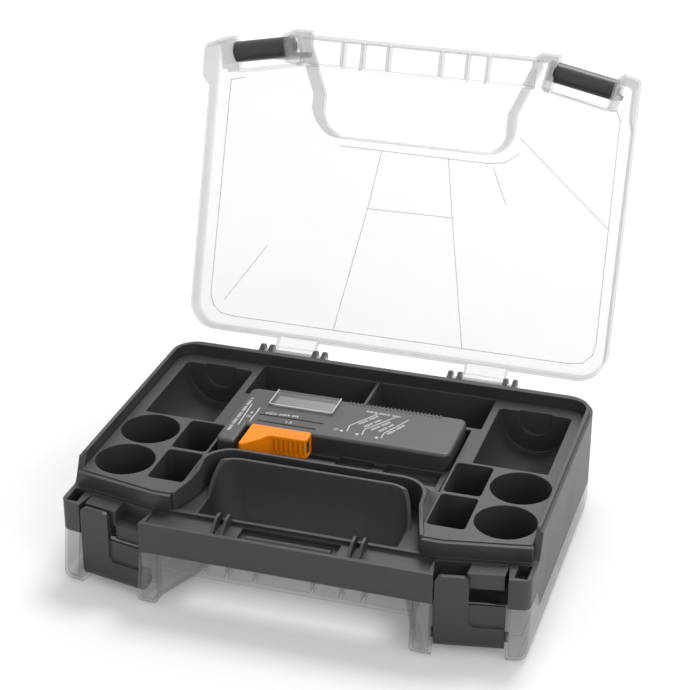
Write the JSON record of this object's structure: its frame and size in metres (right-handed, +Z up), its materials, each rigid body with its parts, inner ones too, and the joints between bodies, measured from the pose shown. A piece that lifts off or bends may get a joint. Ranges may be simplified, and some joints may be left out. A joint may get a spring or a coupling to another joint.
{
  "type": "battery storage case",
  "caption": "Flat two-sided hinged organiser case for batteries, with clear lids, swing latches, a carry handle and a lift-out battery tester with a sliding clamp.",
  "frame": {"origin": "on the plane that the shut lower lid stands on, in the middle of the width and midway between the front of the handle bar and the back wall of the frame", "axes": "+X to the right, +Y back to the hinges, +Z up"},
  "size_m": [0.221, 0.2541, 0.2084],
  "materials": {
    "frame_plastic": "satin textured charcoal",
    "tray_plastic": "satin textured charcoal",
    "clear_plastic": "clear polished plastic",
    "latch_plastic": "satin charcoal",
    "pin_steel": "drawn wire",
    "tester_plastic": "fine textured charcoal",
    "window_plastic": "clear plastic",
    "dial_paper": "pale grey printed plate",
    "board": "circuit board",
    "slider_plastic": "orange, satin",
    "contact_metal": "nickel plated",
    "screw_steel": "zinc plated"
  },
  "bodies": {
    "frame": {"body_frame": "frame_plastic", "upper_tray": "tray_plastic", "lower_tray": "tray_plastic", "upper_hinge_pins": "pin_steel", "lower_hinge_pins": "pin_steel", "tester_base": "tester_plastic", "tester_cover": "tester_plastic", "tester_window": "window_plastic", "tester_display": "dial_paper", "tester_board": "board", "fixed_contact": "contact_metal", "nine_volt_contacts": "contact_metal", "tester_screws": "screw_steel"},
    "upper_lid": {"upper_lid": "clear_plastic"},
    "lower_lid": {"lower_lid": "clear_plastic"},
    "upper_latch_left": {"upper_latch_left": "latch_plastic"},
    "upper_latch_right": {"upper_latch_right": "latch_plastic"},
    "lower_latch_left": {"lower_latch_left": "latch_plastic"},
    "lower_latch_right": {"lower_latch_right": "latch_plastic"},
    "tester_slider": {"tester_slider": "slider_plastic", "slider_contact": "contact_metal"}
  },
  "joints": [
    {"name": "upper_lid_hinge", "type": "hinge", "parent": "frame", "child": "upper_lid", "pos_m": [0, 0.0852, 0.0505], "axis": [1, 0, 0], "range_deg": [0, 108]},
    {"name": "lower_lid_hinge", "type": "hinge", "parent": "frame", "child": "lower_lid", "pos_m": [0, 0.0852, 0.018], "axis": [1, 0, 0], "range_deg": [0, 108]},
    {"name": "upper_latch_left_hinge", "type": "hinge", "parent": "upper_lid", "child": "upper_latch_left", "pos_m": [-0.0839, 0.14208, 0.19483], "axis": [0.9823, 0.0579, 0.1782], "range_deg": [0, 180]},
    {"name": "lower_latch_right_hinge", "type": "hinge", "parent": "lower_lid", "child": "lower_latch_right", "pos_m": [0.0839, -0.06965, 0.0085], "axis": [0.9823, 0.1874, 0], "range_deg": [0, 180]},
    {"name": "upper_latch_right_hinge", "type": "hinge", "parent": "upper_lid", "child": "upper_latch_right", "pos_m": [0.0839, 0.14208, 0.19483], "axis": [0.9823, -0.0579, -0.1782], "range_deg": [0, 180]},
    {"name": "lower_latch_left_hinge", "type": "hinge", "parent": "lower_lid", "child": "lower_latch_left", "pos_m": [-0.0839, -0.06965, 0.0085], "axis": [0.9823, -0.1874, 0], "range_deg": [0, 180]},
    {"name": "tester_slide", "type": "slide", "parent": "frame", "child": "tester_slider", "axis": [1, 0, 0], "range_m": [0, 0.062]}
  ]
}
